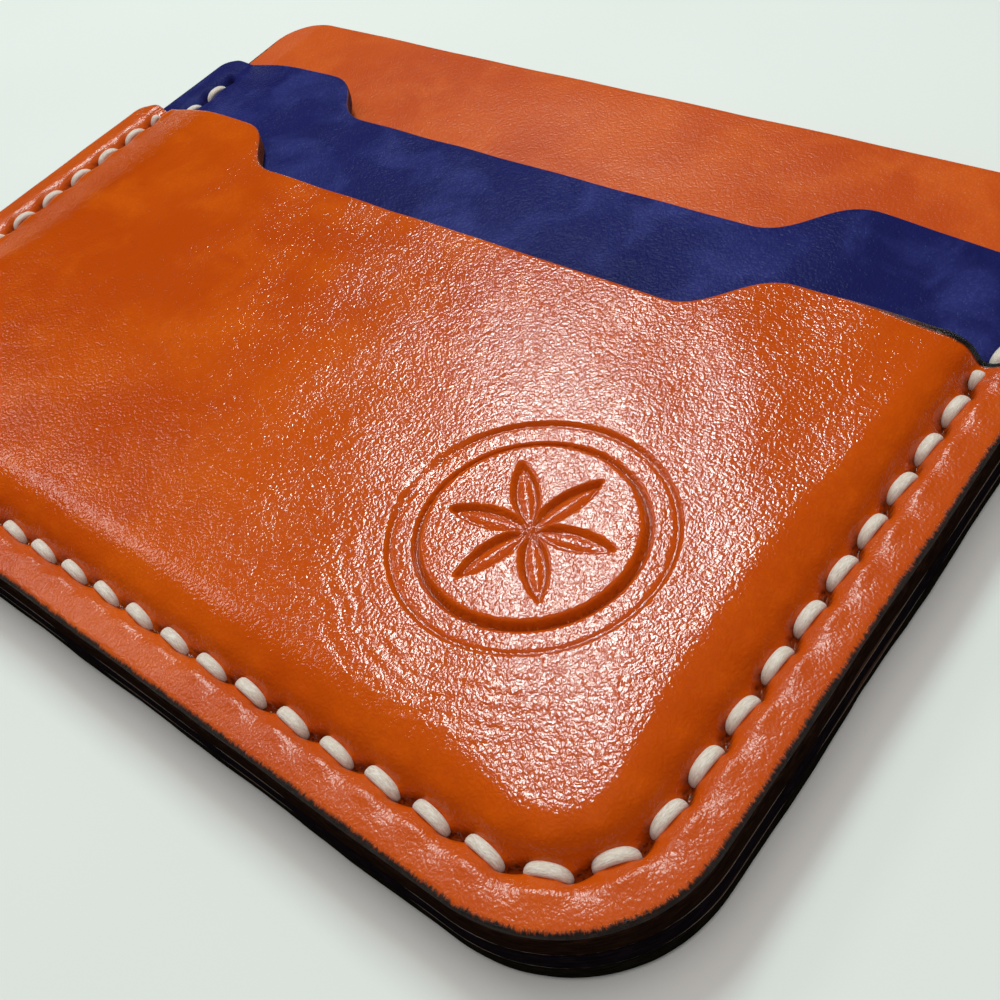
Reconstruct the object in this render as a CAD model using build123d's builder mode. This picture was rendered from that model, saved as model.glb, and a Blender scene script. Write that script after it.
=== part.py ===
"""A stitched leather card wallet: three dyed panels, cemented and saddle-stitched along three edges.

Millimetres. The wallet lies on its back: +X runs along the pocket mouths, +Y out of the pockets and +Z up
through the layers. The origin is under the middle of the wallet, on the surface that it lies on.
"""

import os
from math import pi

from build123d import *

# Sizes of the panels.
WIDTH = 95.4
BACK_HEIGHT = 75.0
MIDDLE_HEIGHT = 63.0  # from the bottom edge to the top of the tabs
FRONT_HEIGHT = 50.6
LEATHER = 1.75
CEMENT = 0.1
BOTTOM_CORNER = 11.0
BACK_TOP_CORNER = 5.0
TAB_CORNER = 2.0
EDGE_BEVEL = 0.6
LIP_BEVEL = 0.35

# The shallow recess in each pocket's mouth, with an S-shaped shoulder at each end.
RECESS_DROP = 5.3
SHOULDER_CENTRE = 25.8  # from the middle of the mouth to the middle of a shoulder
SHOULDER_RUN = 8.6
SHOULDER_EASE = 4.2  # how far each end of the S stays level with its line

# The formed pockets.
POCKET_MARGIN = 4.6  # from the wallet's edge to the foot of the raised part
POCKET_CORNER = BOTTOM_CORNER - POCKET_MARGIN
POCKET_GAP = 0.8  # room that each pocket has for a card before the leather gives
RAMP_ANGLE = 30.0

# The seam.
SEAM_INSET = 3.8
SEAM_CORNER = BOTTOM_CORNER - SEAM_INSET
PITCH = 3.85
STITCHES = 50
SLIT_LEAN = 20.0  # degrees from the seam's direction towards the pocket
SLIT_SPREAD = 1.0  # between the two strands in a slit
SLIT_WIDTH = 0.64
STRAND = 0.6
STITCH_WIDTH = 0.84
STITCH_PROUD = 0.3
GROOVE_WIDTH = 1.5
GROOVE_RUNOUT = 1.2  # past the last hole of each side
GROOVE_DEPTH = 0.3
BACK_GROOVE_DEPTH = 0.5
BACK_STITCH_CLEARANCE = 0.05
EDGE_STITCHES = (2, 47)  # they run over the front pocket's mouth, from the panel behind it
THREAD_END = 0.9

BOTTOM = -BACK_HEIGHT / 2
SEAM_BENDS = pi * SEAM_CORNER  # both corners' arcs
SEAM_FLOOR = WIDTH - 2 * BOTTOM_CORNER  # the straight stretch along the bottom
SEAM_END = BOTTOM + BOTTOM_CORNER + (STITCHES * PITCH - SEAM_BENDS - SEAM_FLOOR) / 2
MIDDLE_Z = LEATHER + CEMENT
FRONT_Z = 2 * (LEATHER + CEMENT)
MIDDLE_TOP = MIDDLE_Z + LEATHER
FRONT_TOP = FRONT_Z + LEATHER
ABOVE = 10.0  # how far a cutting shape runs past what it cuts


def seam_path():
    """The line of the seam, from the left side's last hole round the bottom to the right side's."""
    side = WIDTH / 2 - SEAM_INSET
    floor = BOTTOM + SEAM_INSET
    with BuildLine() as path:
        FilletPolyline(
            (-side, SEAM_END),
            (-side, floor),
            (side, floor),
            (side, SEAM_END),
            radius=SEAM_CORNER,
        )
    return path.wires()[0]


SEAM = seam_path()


def along(point, angle, distance):
    """The point at a distance from another, in a direction given in degrees."""
    return point + Vector(distance, 0).rotate(Axis.Z, angle)


def slit(number):
    """The place of a slit as (middle, direction in degrees)."""
    share = number / STITCHES
    return SEAM.position_at(share), SEAM.tangent_angle_at(share) + SLIT_LEAN


def stitch_ends(number):
    """Where a stitch starts and ends: the near ends of two neighbouring slits."""
    start, start_angle = slit(number)
    end, end_angle = slit(number + 1)
    return (
        along(start, start_angle, SLIT_SPREAD / 2),
        along(end, end_angle, -SLIT_SPREAD / 2),
    )


def stitch_place(number):
    """A stitch's location, its local X along the thread, and the distance between its ends."""
    start, end = stitch_ends(number)
    run = end - start
    middle = (start + end) / 2
    angle = Vector(1, 0).get_signed_angle(run, Vector(0, 0, 1))
    return Location((middle.X, middle.Y, 0), (0, 0, angle)), run.length


def outer_corners(outline):
    """The corners on an outline's left and right sides, in groups from the lowest up."""
    columns = outline.vertices().group_by(Axis.X)
    return (columns[0] + columns[-1]).group_by(Axis.Y)


def panel_outline(height, top_corner, recessed):
    """A panel's closed outline, with or without the recess in its mouth."""
    half = WIDTH / 2
    top = BOTTOM + height
    recess = top - RECESS_DROP
    outer = SHOULDER_CENTRE + SHOULDER_RUN / 2
    inner = SHOULDER_CENTRE - SHOULDER_RUN / 2
    with BuildSketch() as outline:
        with BuildLine():
            if recessed:
                Line((-half, top), (-outer, top))
                Bezier(
                    (-outer, top),
                    (-outer + SHOULDER_EASE, top),
                    (-inner - SHOULDER_EASE, recess),
                    (-inner, recess),
                )
                Line((-inner, recess), (inner, recess))
                Bezier(
                    (inner, recess),
                    (inner + SHOULDER_EASE, recess),
                    (outer - SHOULDER_EASE, top),
                    (outer, top),
                )
                Line((outer, top), (half, top))
            else:
                Line((-half, top), (half, top))
            Line((half, top), (half, BOTTOM))
            Line((half, BOTTOM), (-half, BOTTOM))
            Line((-half, BOTTOM), (-half, top))
        make_face()
        fillet(outer_corners(outline)[0], BOTTOM_CORNER)
        fillet(outer_corners(outline)[-1], top_corner)
    return outline.sketch


def pocket_area():
    """The raised part of a pocket in plan. It runs out past the mouth."""
    width = WIDTH - 2 * POCKET_MARGIN
    length = BACK_HEIGHT - POCKET_MARGIN + ABOVE
    with BuildSketch() as area:
        with Locations((0, BOTTOM + POCKET_MARGIN + length / 2)):
            RectangleRounded(width, length, POCKET_CORNER)
    return area.sketch


def seam_groove():
    """The groove that the stitches lie in, in plan."""
    reach = SEAM_INSET - GROOVE_WIDTH / 2
    corner = BOTTOM_CORNER - reach
    top = SEAM_END + GROOVE_RUNOUT
    with BuildSketch() as groove:
        for width, radius, mode in (
            (WIDTH - 2 * reach, corner, Mode.ADD),
            (WIDTH - 2 * (reach + GROOVE_WIDTH), corner - GROOVE_WIDTH, Mode.SUBTRACT),
        ):
            floor = BOTTOM + (WIDTH - width) / 2
            with Locations((0, floor + BACK_HEIGHT)):
                RectangleRounded(width, 2 * BACK_HEIGHT, radius, mode=mode)
        with Locations((0, top + BACK_HEIGHT)):
            Rectangle(2 * WIDTH, 2 * BACK_HEIGHT, mode=Mode.SUBTRACT)
    return groove.sketch


def slits():
    """Every slit of the seam, in plan."""
    with BuildSketch() as cuts:
        for number in range(STITCHES + 1):
            middle, angle = slit(number)
            with Locations(Location((middle.X, middle.Y, 0), (0, 0, angle))):
                SlotCenterToCenter(SLIT_SPREAD, SLIT_WIDTH)
    return cuts.sketch


GROOVE = seam_groove()
SLITS = slits()
POCKET = pocket_area()


def top_rim(panel, least_z):
    """The upper edges of a panel's side walls."""
    walls = panel.faces().filter_by(lambda face: abs(face.normal_at().Z) < 0.01)
    rim = [edge for edge in walls.edges() if edge.center().Z > least_z]
    return ShapeList(edge for edge in rim if abs(edge.tangent_at(0.5).Z) < 0.95)


def pocket_panel(outline, z, rise, groove):
    """A pocket's panel: a flat margin with its middle formed up over the cards."""
    with BuildPart() as panel:
        with BuildSketch(Plane.XY.offset(z)):
            Rectangle(2 * WIDTH, 2 * BACK_HEIGHT)
        extrude(amount=LEATHER)
        with BuildSketch(Plane.XY.offset(z + LEATHER)):
            add(POCKET)
        extrude(amount=rise, taper=RAMP_ANGLE)
        with BuildSketch(Plane.XY.offset(z)):
            add(POCKET)
        extrude(amount=rise, taper=RAMP_ANGLE, mode=Mode.SUBTRACT)
        with BuildSketch(Plane.XY.offset(z)):
            add(outline)
        extrude(amount=LEATHER + rise, mode=Mode.INTERSECT)
        chamfer(top_rim(panel, z + LEATHER / 2), LIP_BEVEL)
        with BuildSketch(Plane.XY.offset(z)):
            add(SLITS)
        extrude(amount=LEATHER + rise, mode=Mode.SUBTRACT)
        with BuildSketch(Plane.XY.offset(z + LEATHER)):
            add(groove)
        extrude(amount=-GROOVE_DEPTH, mode=Mode.SUBTRACT)
    return panel


# The back panel: flat, bevelled under its rim, with a groove in its back for the stitches.
with BuildPart() as back_panel:
    with BuildSketch():
        add(panel_outline(BACK_HEIGHT, BACK_TOP_CORNER, False))
    extrude(amount=LEATHER)
    chamfer(back_panel.edges().group_by(Axis.Z)[0], EDGE_BEVEL)
    with BuildSketch():
        add(GROOVE)
    extrude(amount=BACK_GROOVE_DEPTH, mode=Mode.SUBTRACT)
    with BuildSketch():
        add(SLITS)
    extrude(amount=LEATHER, mode=Mode.SUBTRACT)

MIDDLE_OUTLINE = panel_outline(MIDDLE_HEIGHT, TAB_CORNER, True)
FRONT_OUTLINE = panel_outline(FRONT_HEIGHT, TAB_CORNER, True)

# The middle pocket's groove is only where the front pocket leaves it showing.
with BuildSketch() as showing_groove:
    add(GROOVE)
    add(FRONT_OUTLINE, mode=Mode.SUBTRACT)

# The middle pocket's panel is raised over its own cards, and the front one over both pockets' cards.
middle_pocket = pocket_panel(MIDDLE_OUTLINE, MIDDLE_Z, POCKET_GAP, showing_groove.sketch)
front_pocket = pocket_panel(FRONT_OUTLINE, FRONT_Z, 2 * POCKET_GAP, GROOVE)


def cement_film(outline, z):
    """A film of contact cement along the three closed edges of a pocket."""
    with BuildPart() as film:
        with BuildSketch(Plane.XY.offset(z)):
            add(outline)
            add(POCKET, mode=Mode.SUBTRACT)
            add(SLITS, mode=Mode.SUBTRACT)
        extrude(amount=CEMENT)
    return film


rear_cement = cement_film(MIDDLE_OUTLINE, LEATHER)
front_cement = cement_film(FRONT_OUTLINE, MIDDLE_TOP)


def stitches_in_plan(numbers):
    """Separate stitches, seen from above."""
    with BuildSketch() as stitches:
        for number in numbers:
            place, length = stitch_place(number)
            with Locations(place):
                SlotCenterToCenter(length, STITCH_WIDTH)
    return stitches.sketch


FACE_HEIGHT = GROOVE_DEPTH + STITCH_PROUD
LEFT_EDGE_STITCH, RIGHT_EDGE_STITCH = EDGE_STITCHES

with BuildPart() as front_stitches:
    with BuildSketch(Plane.XY.offset(FRONT_TOP - GROOVE_DEPTH)):
        add(stitches_in_plan(range(LEFT_EDGE_STITCH + 1, RIGHT_EDGE_STITCH)))
    extrude(amount=FACE_HEIGHT)

with BuildPart() as middle_stitches:
    with BuildSketch(Plane.XY.offset(MIDDLE_TOP - GROOVE_DEPTH)):
        add(stitches_in_plan([*range(LEFT_EDGE_STITCH), *range(RIGHT_EDGE_STITCH + 1, STITCHES)]))
    extrude(amount=FACE_HEIGHT)

with BuildPart() as back_stitches:
    with BuildSketch(Plane.XY.offset(BACK_STITCH_CLEARANCE)):
        add(stitches_in_plan(range(STITCHES)))
    extrude(amount=BACK_GROOVE_DEPTH - BACK_STITCH_CLEARANCE)

# The two stitches over the front pocket's mouth: each drops from the front panel to the middle one.
with BuildPart() as edge_stitches:
    with BuildSketch(Plane.XY.offset(FRONT_TOP - GROOVE_DEPTH)):
        add(stitches_in_plan(EDGE_STITCHES))
    extrude(amount=FACE_HEIGHT)
    with BuildSketch(Plane.XY.offset(MIDDLE_TOP - GROOVE_DEPTH)):
        with Locations(stitch_ends(LEFT_EDGE_STITCH)[0], stitch_ends(RIGHT_EDGE_STITCH)[1]):
            Circle(STRAND / 2)
    extrude(amount=LEATHER + CEMENT)

# Two strands pass through every slit. Past the front pocket's mouth they end on the middle panel.
with BuildPart() as thread_crossings:
    for number in range(STITCHES + 1):
        middle, angle = slit(number)
        on_middle = number <= LEFT_EDGE_STITCH or number > RIGHT_EDGE_STITCH
        face = MIDDLE_TOP if on_middle else FRONT_TOP
        strands = [along(middle, angle, shift * SLIT_SPREAD / 2) for shift in (-1, 1)]
        with BuildSketch(Plane.XY.offset(BACK_GROOVE_DEPTH)):
            with Locations(*strands):
                Circle(STRAND / 2)
        extrude(amount=face - GROOVE_DEPTH - BACK_GROOVE_DEPTH)

# The thread's two cut ends, melted flat in the back groove past the right side's last hole.
with BuildPart() as thread_ends:
    last, last_angle = slit(STITCHES)
    with BuildSketch(Plane.XY.offset(BACK_STITCH_CLEARANCE)):
        with Locations(along(last, last_angle, SLIT_SPREAD / 2)):
            Circle(THREAD_END / 2)
    extrude(amount=BACK_GROOVE_DEPTH - BACK_STITCH_CLEARANCE)

pieces = {
    "back_panel": back_panel,
    "middle_pocket": middle_pocket,
    "front_pocket": front_pocket,
    "rear_cement": rear_cement,
    "front_cement": front_cement,
    "front_stitches": front_stitches,
    "middle_stitches": middle_stitches,
    "edge_stitches": edge_stitches,
    "back_stitches": back_stitches,
    "thread_crossings": thread_crossings,
    "thread_ends": thread_ends,
}

os.makedirs("parts", exist_ok=True)
for name, piece in pieces.items():
    piece.part.label = name
    export_step(piece.part, f"parts/{name}.step")
    box = piece.part.bounding_box()
    print(name, len(piece.part.solids()), [round(x, 2) for x in (*box.min, *box.max)])
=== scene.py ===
"""The leather card wallet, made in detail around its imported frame.

The wallet is worked out in millimetres, in the frame's own axes, and written to the meshes in metres.
"""

import math
from collections import namedtuple

import bpy
import numpy as np
from mathutils import Matrix, Quaternion, Vector


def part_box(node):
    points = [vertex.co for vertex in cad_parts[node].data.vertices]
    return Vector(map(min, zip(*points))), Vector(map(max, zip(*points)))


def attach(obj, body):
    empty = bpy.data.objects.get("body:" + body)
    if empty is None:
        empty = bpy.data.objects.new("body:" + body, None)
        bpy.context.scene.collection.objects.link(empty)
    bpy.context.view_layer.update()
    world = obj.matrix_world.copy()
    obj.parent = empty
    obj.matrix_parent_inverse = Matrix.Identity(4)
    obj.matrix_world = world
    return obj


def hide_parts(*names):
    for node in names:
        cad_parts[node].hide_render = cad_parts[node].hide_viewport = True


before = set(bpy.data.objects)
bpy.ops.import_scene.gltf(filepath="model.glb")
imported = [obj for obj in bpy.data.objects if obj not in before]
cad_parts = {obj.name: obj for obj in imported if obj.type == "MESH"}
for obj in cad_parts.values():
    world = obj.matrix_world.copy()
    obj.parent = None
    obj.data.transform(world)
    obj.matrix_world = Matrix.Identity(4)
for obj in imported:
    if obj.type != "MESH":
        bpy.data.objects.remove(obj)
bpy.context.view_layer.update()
rng = np.random.default_rng(7)

MM = 0.001


def node_box(name):
    """A CAD node's lowest and highest corners, in millimetres."""
    low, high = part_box(name)
    return np.array(low) / MM, np.array(high) / MM


# ---------------------------------------------------------------- sizes, from the frame where it has them

BACK_LOW, BACK_HIGH = node_box("back_panel")
MIDDLE_LOW, MIDDLE_HIGH = node_box("middle_pocket")
FRONT_LOW, FRONT_HIGH = node_box("front_pocket")
HALF = BACK_HIGH[0]
BOTTOM = BACK_LOW[1]
LEATHER = BACK_HIGH[2]
MIDDLE_SEAT = MIDDLE_LOW[2] + LEATHER  # the middle panel's face at the seam
FRONT_SEAT = FRONT_LOW[2] + LEATHER
FRONT_TOP = FRONT_HIGH[1]
MIDDLE_TOP = MIDDLE_HIGH[1]
BACK_TOP = BACK_HIGH[1]

CORNER = 11.0
BACK_TOP_CORNER = 5.0
TAB_CORNER = 2.0
RECESS = 5.3  # how far a pocket's mouth dips between its tabs
SHOULDER_CENTRE = 25.8
SHOULDER_RUN = 8.6
SHOULDER_EASE = 4.2
OUTLINE_STEP = 0.05

SEAM_INSET = 3.8
SEAM_CORNER = CORNER - SEAM_INSET
PITCH = 3.85
STITCHES = 50
STRAND_OFFSET = 0.5  # from a slit's middle to each of its two strands
SLIT_LEAN = math.radians(20)
EDGE_STITCHES = (2, 47)  # the two that reach over the ends of the front pocket's mouth
FRONT_PROUD = 0.2  # how far the crown of a stitch's path stands above its seam
BACK_SEAT = 0.4  # the height of the trough that the back's stitches lie in
BACK_PROUD = 0.32

FRONT_RISE = 1.5  # how far the pockets stand above their seams
MIDDLE_RISE = 1.2
RAMP_START = 4.2  # how far inside the edge a pocket begins to rise
RAMP_WIDTH = 4.1
NEAR_CORNER = (41.0, -31.0)  # where the pockets keep their height almost to the stitches
STAMP_AT = np.array([26.4, -15.1])
STAMP_RADIUS = 9.5


def smooth(low, high, value):
    """0 below low, 1 above high, and an S between them."""
    t = np.clip((value - low) / (high - low), 0, 1)
    return t * t * (3 - 2 * t)


def waves(x, y, scale, seed):
    """Smooth noise from -1 to 1, the same on every run: a sum of waves in random directions."""
    source = np.random.default_rng(seed)
    total = np.zeros_like(x)
    for _ in range(9):
        angle = source.uniform(0, 2 * math.pi)
        length = scale * source.uniform(0.7, 1.6)
        phase = source.uniform(0, 2 * math.pi)
        along = x * math.cos(angle) + y * math.sin(angle)
        total = total + np.sin(2 * math.pi * along / length + phase)
    return total / 4.5


# ---------------------------------------------------------------- outlines


def arc(centre, radius, start, stop):
    """Points of an arc, with its angles in degrees."""
    angles = np.radians(np.linspace(start, stop, 60))
    return np.c_[centre[0] + radius * np.cos(angles), centre[1] + radius * np.sin(angles)]


def s_curve(start, stop):
    """A mouth's shoulder, level at both ends."""
    ease = math.copysign(SHOULDER_EASE, stop[0] - start[0])
    t = np.linspace(0, 1, 60)[:, None]
    points = np.array([start, (start[0] + ease, start[1]), (stop[0] - ease, stop[1]), stop])
    return (
        (1 - t) ** 3 * points[0]
        + 3 * (1 - t) ** 2 * t * points[1]
        + 3 * (1 - t) * t**2 * points[2]
        + t**3 * points[3]
    )


class Outline:
    """A panel's closed outline, anticlockwise, that can be read at any distance along it."""

    def __init__(self, top, top_corner, recessed):
        side = HALF - CORNER
        lid = HALF - top_corner
        floor = BOTTOM + CORNER
        shelf = top - top_corner
        outer = SHOULDER_CENTRE + SHOULDER_RUN / 2
        inner = SHOULDER_CENTRE - SHOULDER_RUN / 2
        low = top - RECESS
        mouth = []
        if recessed:
            mouth = [s_curve((outer, top), (inner, low)), s_curve((-inner, low), (-outer, top))]
        stretches = [
            arc((-side, floor), CORNER, 225, 270),
            arc((side, floor), CORNER, 270, 315),
            arc((side, floor), CORNER, 315, 360),
            arc((lid, shelf), top_corner, 0, 45),
            arc((lid, shelf), top_corner, 45, 90),
            *mouth,
            arc((-lid, shelf), top_corner, 90, 135),
            arc((-lid, shelf), top_corner, 135, 180),
            arc((-side, floor), CORNER, 180, 225),
        ]
        points = np.vstack(stretches)
        keep = np.r_[True, np.linalg.norm(np.diff(points, axis=0), axis=1) > 1e-6]
        points = points[keep]
        reach = np.r_[0, np.cumsum(np.linalg.norm(np.diff(points, axis=0), axis=1))]
        self.length = reach[-1]
        self.places = np.arange(0, self.length, OUTLINE_STEP)
        dense = np.stack([np.interp(self.places, reach, points[:, k]) for k in (0, 1)], axis=1)
        along = np.roll(dense, -4, axis=0) - np.roll(dense, 4, axis=0)
        along /= np.linalg.norm(along, axis=1)[:, None]
        self.points = dense
        self.normals = np.c_[along[:, 1], -along[:, 0]]
        corners = [(-side, floor, 225, CORNER), (side, floor, 315, CORNER)]
        corners += [(lid, shelf, 45, top_corner), (-lid, shelf, 135, top_corner)]
        self.corners = [self._place_of(*corner) for corner in corners]
        self.corners[0] = 0.0  # the outline starts there, and the nearest point may be its last one
        upper = dense[dense[:, 1] > top - RECESS - 1.5]
        self.mouth = upper[np.argsort(upper[:, 0])]

    def _place_of(self, x, y, angle, radius):
        """The distance along the outline of a corner's middle."""
        turn = math.radians(angle)
        spot = np.array([x + radius * math.cos(turn), y + radius * math.sin(turn)])
        return self.places[np.argmin(np.linalg.norm(self.points - spot, axis=1))]

    def mouth_height(self, x):
        """The outline's height over x, along its mouth."""
        return np.interp(x, self.mouth[:, 0], self.mouth[:, 1])

    def at(self, places):
        """Points and outward normals at distances along the outline."""
        places = np.mod(places, self.length)
        around = np.r_[self.places, self.length]

        def read(rows):
            columns = [np.interp(places, around, np.r_[rows[:, k], rows[0, k]]) for k in (0, 1)]
            return np.stack(columns, axis=1)

        normals = read(self.normals)
        return read(self.points), normals / np.linalg.norm(normals, axis=1)[:, None]


def inset_of(x, y):
    """How far a point is inside the wallet's sides and bottom. The mouths don't count."""
    qx = np.abs(x) - (HALF - CORNER)
    qy = (BOTTOM + CORNER) - y
    outside = np.hypot(np.maximum(qx, 0), np.maximum(qy, 0))
    return CORNER - outside - np.minimum(np.maximum(qx, qy), 0)


# ---------------------------------------------------------------- the seam

SEAM_BEND = math.pi * SEAM_CORNER / 2
SEAM_FLOOR = 2 * (HALF - CORNER)
SEAM_SIDE = (STITCHES * PITCH - 2 * SEAM_BEND - SEAM_FLOOR) / 2


def seam_at(place):
    """The seam's point and direction at a distance from the left side's last hole."""
    side = HALF - SEAM_INSET
    bend_x = HALF - CORNER
    bend_y = BOTTOM + CORNER
    if place <= SEAM_SIDE:
        return np.array([-side, bend_y + SEAM_SIDE - place]), -math.pi / 2
    place -= SEAM_SIDE
    if place <= SEAM_BEND:
        angle = math.pi + place / SEAM_CORNER
        centre = np.array([-bend_x, bend_y])
    elif place <= SEAM_BEND + SEAM_FLOOR:
        return np.array([place - SEAM_BEND - bend_x, BOTTOM + SEAM_INSET]), 0.0
    elif place <= 2 * SEAM_BEND + SEAM_FLOOR:
        angle = -math.pi / 2 + (place - SEAM_BEND - SEAM_FLOOR) / SEAM_CORNER
        centre = np.array([bend_x, bend_y])
    else:
        rest = place - 2 * SEAM_BEND - SEAM_FLOOR
        return np.array([side, bend_y + rest]), math.pi / 2
    spoke = np.array([math.cos(angle), math.sin(angle)])
    return centre + SEAM_CORNER * spoke, angle + math.pi / 2


def seam_place(x, y):
    """How far along the seam the nearest part of it is, for arrays of points."""
    bend_x = HALF - CORNER
    bend_y = BOTTOM + CORNER
    turn = np.arctan2(np.maximum(np.abs(x) - bend_x, 1e-9), np.maximum(bend_y - y, 1e-9))
    in_bend = (np.abs(x) > bend_x) & (y < bend_y)
    on_side = (np.abs(x) > bend_x) & (y >= bend_y)
    half = SEAM_FLOOR / 2
    reach = np.where(in_bend, half + turn * SEAM_CORNER, np.abs(x))
    reach = np.where(on_side, half + SEAM_BEND + (y - bend_y), reach)
    return SEAM_SIDE + SEAM_BEND + half + np.sign(x) * reach


def slit(number):
    """A slit's middle and the direction that it lies in."""
    point, direction = seam_at(number * PITCH)
    angle = direction + SLIT_LEAN
    return point, np.array([math.cos(angle), math.sin(angle)])


# ---------------------------------------------------------------- the faces of the panels


def pocket_rise(x, y, top):
    """The formed part of a pocket, from 0 at the seam to 1 over the cards."""
    slack = smooth(-22, -44, x) * smooth(-24, -8, y)
    taut = smooth(28, 38, x) * smooth(22, 6, top - y)
    corner = np.exp(-((x - NEAR_CORNER[0]) ** 2 + (y - NEAR_CORNER[1]) ** 2) / 60)
    width = RAMP_WIDTH + 7.3 * slack - 1.3 * taut - 1.6 * corner
    ramp = np.clip((inset_of(x, y) - RAMP_START) / width, 0, 1)
    return 1 - (1 - ramp) ** (2.2 - 0.4 * slack)


def seam_parts(x, y):
    """Where a point is against the seam: how far inside it, how far past the nearest slit, and 1 or 0.

    The last is 1 all along the seam and 0 past its ends.
    """
    place = seam_place(x, y)
    end = STITCHES * PITCH
    ends = smooth(-1.4, -0.4, place) * smooth(end + 1.4, end + 0.4, place)
    phase = (place / PITCH - np.round(place / PITCH)) * PITCH
    return inset_of(x, y) - SEAM_INSET, phase, ends


def slit_mark(x, y):
    """1 in the middle of a slit, falling to 0 around it."""
    off, phase, ends = seam_parts(x, y)
    lean = off - phase * math.tan(SLIT_LEAN)
    return ends * np.exp(-((phase / 0.95) ** 4 + (lean / 0.32) ** 2))


def seam_relief(x, y, depth):
    """The pull of the stitches: a trough, a slit at each end, and leather pushed up beside the thread."""
    off, phase, ends = seam_parts(x, y)
    trough = -0.3 * np.exp(-((off / 0.8) ** 2))
    pull = -0.2 * np.exp(-((phase / 1.1) ** 2 + (off / 1.4) ** 2))
    ridge = 0.13 * np.exp(-(((np.abs(off) - 1.25) / 0.5) ** 2))
    ridge = ridge * (0.55 - 0.45 * np.cos(2 * math.pi * phase / PITCH))
    return depth * (ends * (trough + pull + ridge) - 0.85 * slit_mark(x, y))


def margin_dome(x, y):
    """The rounded strip between the seam and the edge."""
    inset = inset_of(x, y)
    return 0.16 * np.sin(math.pi * np.clip(inset / SEAM_INSET, 0, 1)) + 0.05 * waves(x, y, 9, 3)


def groove(distance, width, depth):
    """A rounded groove, from how far each point is from its middle line."""
    return -depth * np.exp(-((distance / width) ** 2))


def stamp_relief(x, y):
    """A round stamp: a sunk ring about a rosette of six petals, each between two arcs of a compass."""
    px = x - STAMP_AT[0]
    py = y - STAMP_AT[1]
    radius = np.hypot(px, py)
    inner = STAMP_RADIUS * 0.79
    band = smooth(inner - 0.05, inner + 0.1, radius)
    band = band * smooth(STAMP_RADIUS + 0.15, STAMP_RADIUS - 0.05, radius)
    height = -0.18 * band
    height += groove(radius - STAMP_RADIUS, 0.13, 0.16)
    height += groove(radius - inner - 0.1, 0.16, 0.42)
    height += 0.16 * smooth(inner + 0.02, inner - 0.35, radius)
    reach = STAMP_RADIUS * 0.62
    angle = np.arctan2(py, px) - math.radians(12)
    angle = angle - np.round(angle / (math.pi / 3)) * (math.pi / 3)
    along = radius * np.cos(angle)
    aside = np.abs(radius * np.sin(angle))
    bow = np.hypot(along - reach / 2, aside + reach * math.sqrt(3) / 2) - reach
    height -= 0.36 * smooth(0.1, -0.12, bow)
    height += groove(bow + 0.1, 0.12, 0.14) * smooth(reach + 0.8, reach, radius)
    height += 0.08 * smooth(-0.35, -0.75, bow)
    return height


def wrinkles(x, y):
    """Fine wrinkles in arcs about the stamp's lower left, where the leather was pulled to the corner."""
    px = x - STAMP_AT[0]
    py = y - STAMP_AT[1]
    radius = np.hypot(px, py)
    angle = np.degrees(np.arctan2(py, px)) % 360
    past = radius - STAMP_RADIUS
    where = smooth(170, 205, angle) * smooth(318, 285, angle) * smooth(0.6, 2.2, past) * smooth(8.5, 5, past)
    broken = 0.5 + 0.5 * waves(x, y, 3.2, 31)
    return 0.022 * where * broken * np.sin(2 * math.pi * radius / 1.15 + 2.2 * waves(x, y, 5, 32))


def sag(x, y):
    """The slow unevenness of the leather over the cards, which both pockets share."""
    return 0.05 * waves(x, y, 38, 11) + 0.012 * waves(x, y, 14, 12)


def front_base(x, y):
    """The front panel's level without its seam, stamp and wrinkles."""
    return FRONT_SEAT + pocket_rise(x, y, FRONT_TOP) * (FRONT_RISE + sag(x, y))


def front_face(x, y):
    relief = margin_dome(x, y) + seam_relief(x, y, 1.0) + stamp_relief(x, y) + wrinkles(x, y)
    return front_base(x, y) + relief


def middle_base(x, y):
    """The middle panel's level. It falls away from the front panel towards the right."""
    hollow = 0.75 * smooth(29, 41, x)
    return MIDDLE_SEAT + pocket_rise(x, y, MIDDLE_TOP) * (MIDDLE_RISE + sag(x, y)) * (1 - hollow)


def middle_face(x, y):
    """The middle panel's face. Under the front panel it has no stitches."""
    showing = smooth(FRONT_TOP - 0.3, FRONT_TOP + 0.6, y)
    dome = margin_dome(x, y) * showing
    return middle_base(x, y) + dome + seam_relief(x, y, 0.9) * showing


def back_face(x, y):
    """The back panel's face, which is uneven and lifts a little only where it shows."""
    showing = smooth(MIDDLE_TOP, MIDDLE_TOP + 1, y)
    lift = 0.25 * smooth(MIDDLE_TOP, BACK_TOP, y) * (0.5 + 0.5 * waves(x, y, 60, 5))
    return LEATHER + 0.03 * waves(x, y, 12, 6) * showing + lift


# ---------------------------------------------------------------- panel meshes


def spacing(length, fine, coarse, fine_ends, fine_spots):
    """Shares from 0 to 1 along a length, closer together near both ends and near the spots given."""
    samples = 2000
    places = np.linspace(0, length, samples)
    near = np.minimum(places, length - places)
    step = np.where(near < fine_ends, fine, coarse)
    for low, high, finest in fine_spots:
        step = np.where((places > low) & (places < high), finest, step)
    kernel = np.ones(101) / 101
    step = np.convolve(np.pad(step, 50, mode="edge"), kernel, mode="valid")
    count = np.r_[0, np.cumsum(length / (samples - 1) / step[:-1])]
    total = 4 * max(1, int(round(count[-1] / 4)))
    return np.interp(np.linspace(0, count[-1], total + 1), count, places) / length


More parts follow.
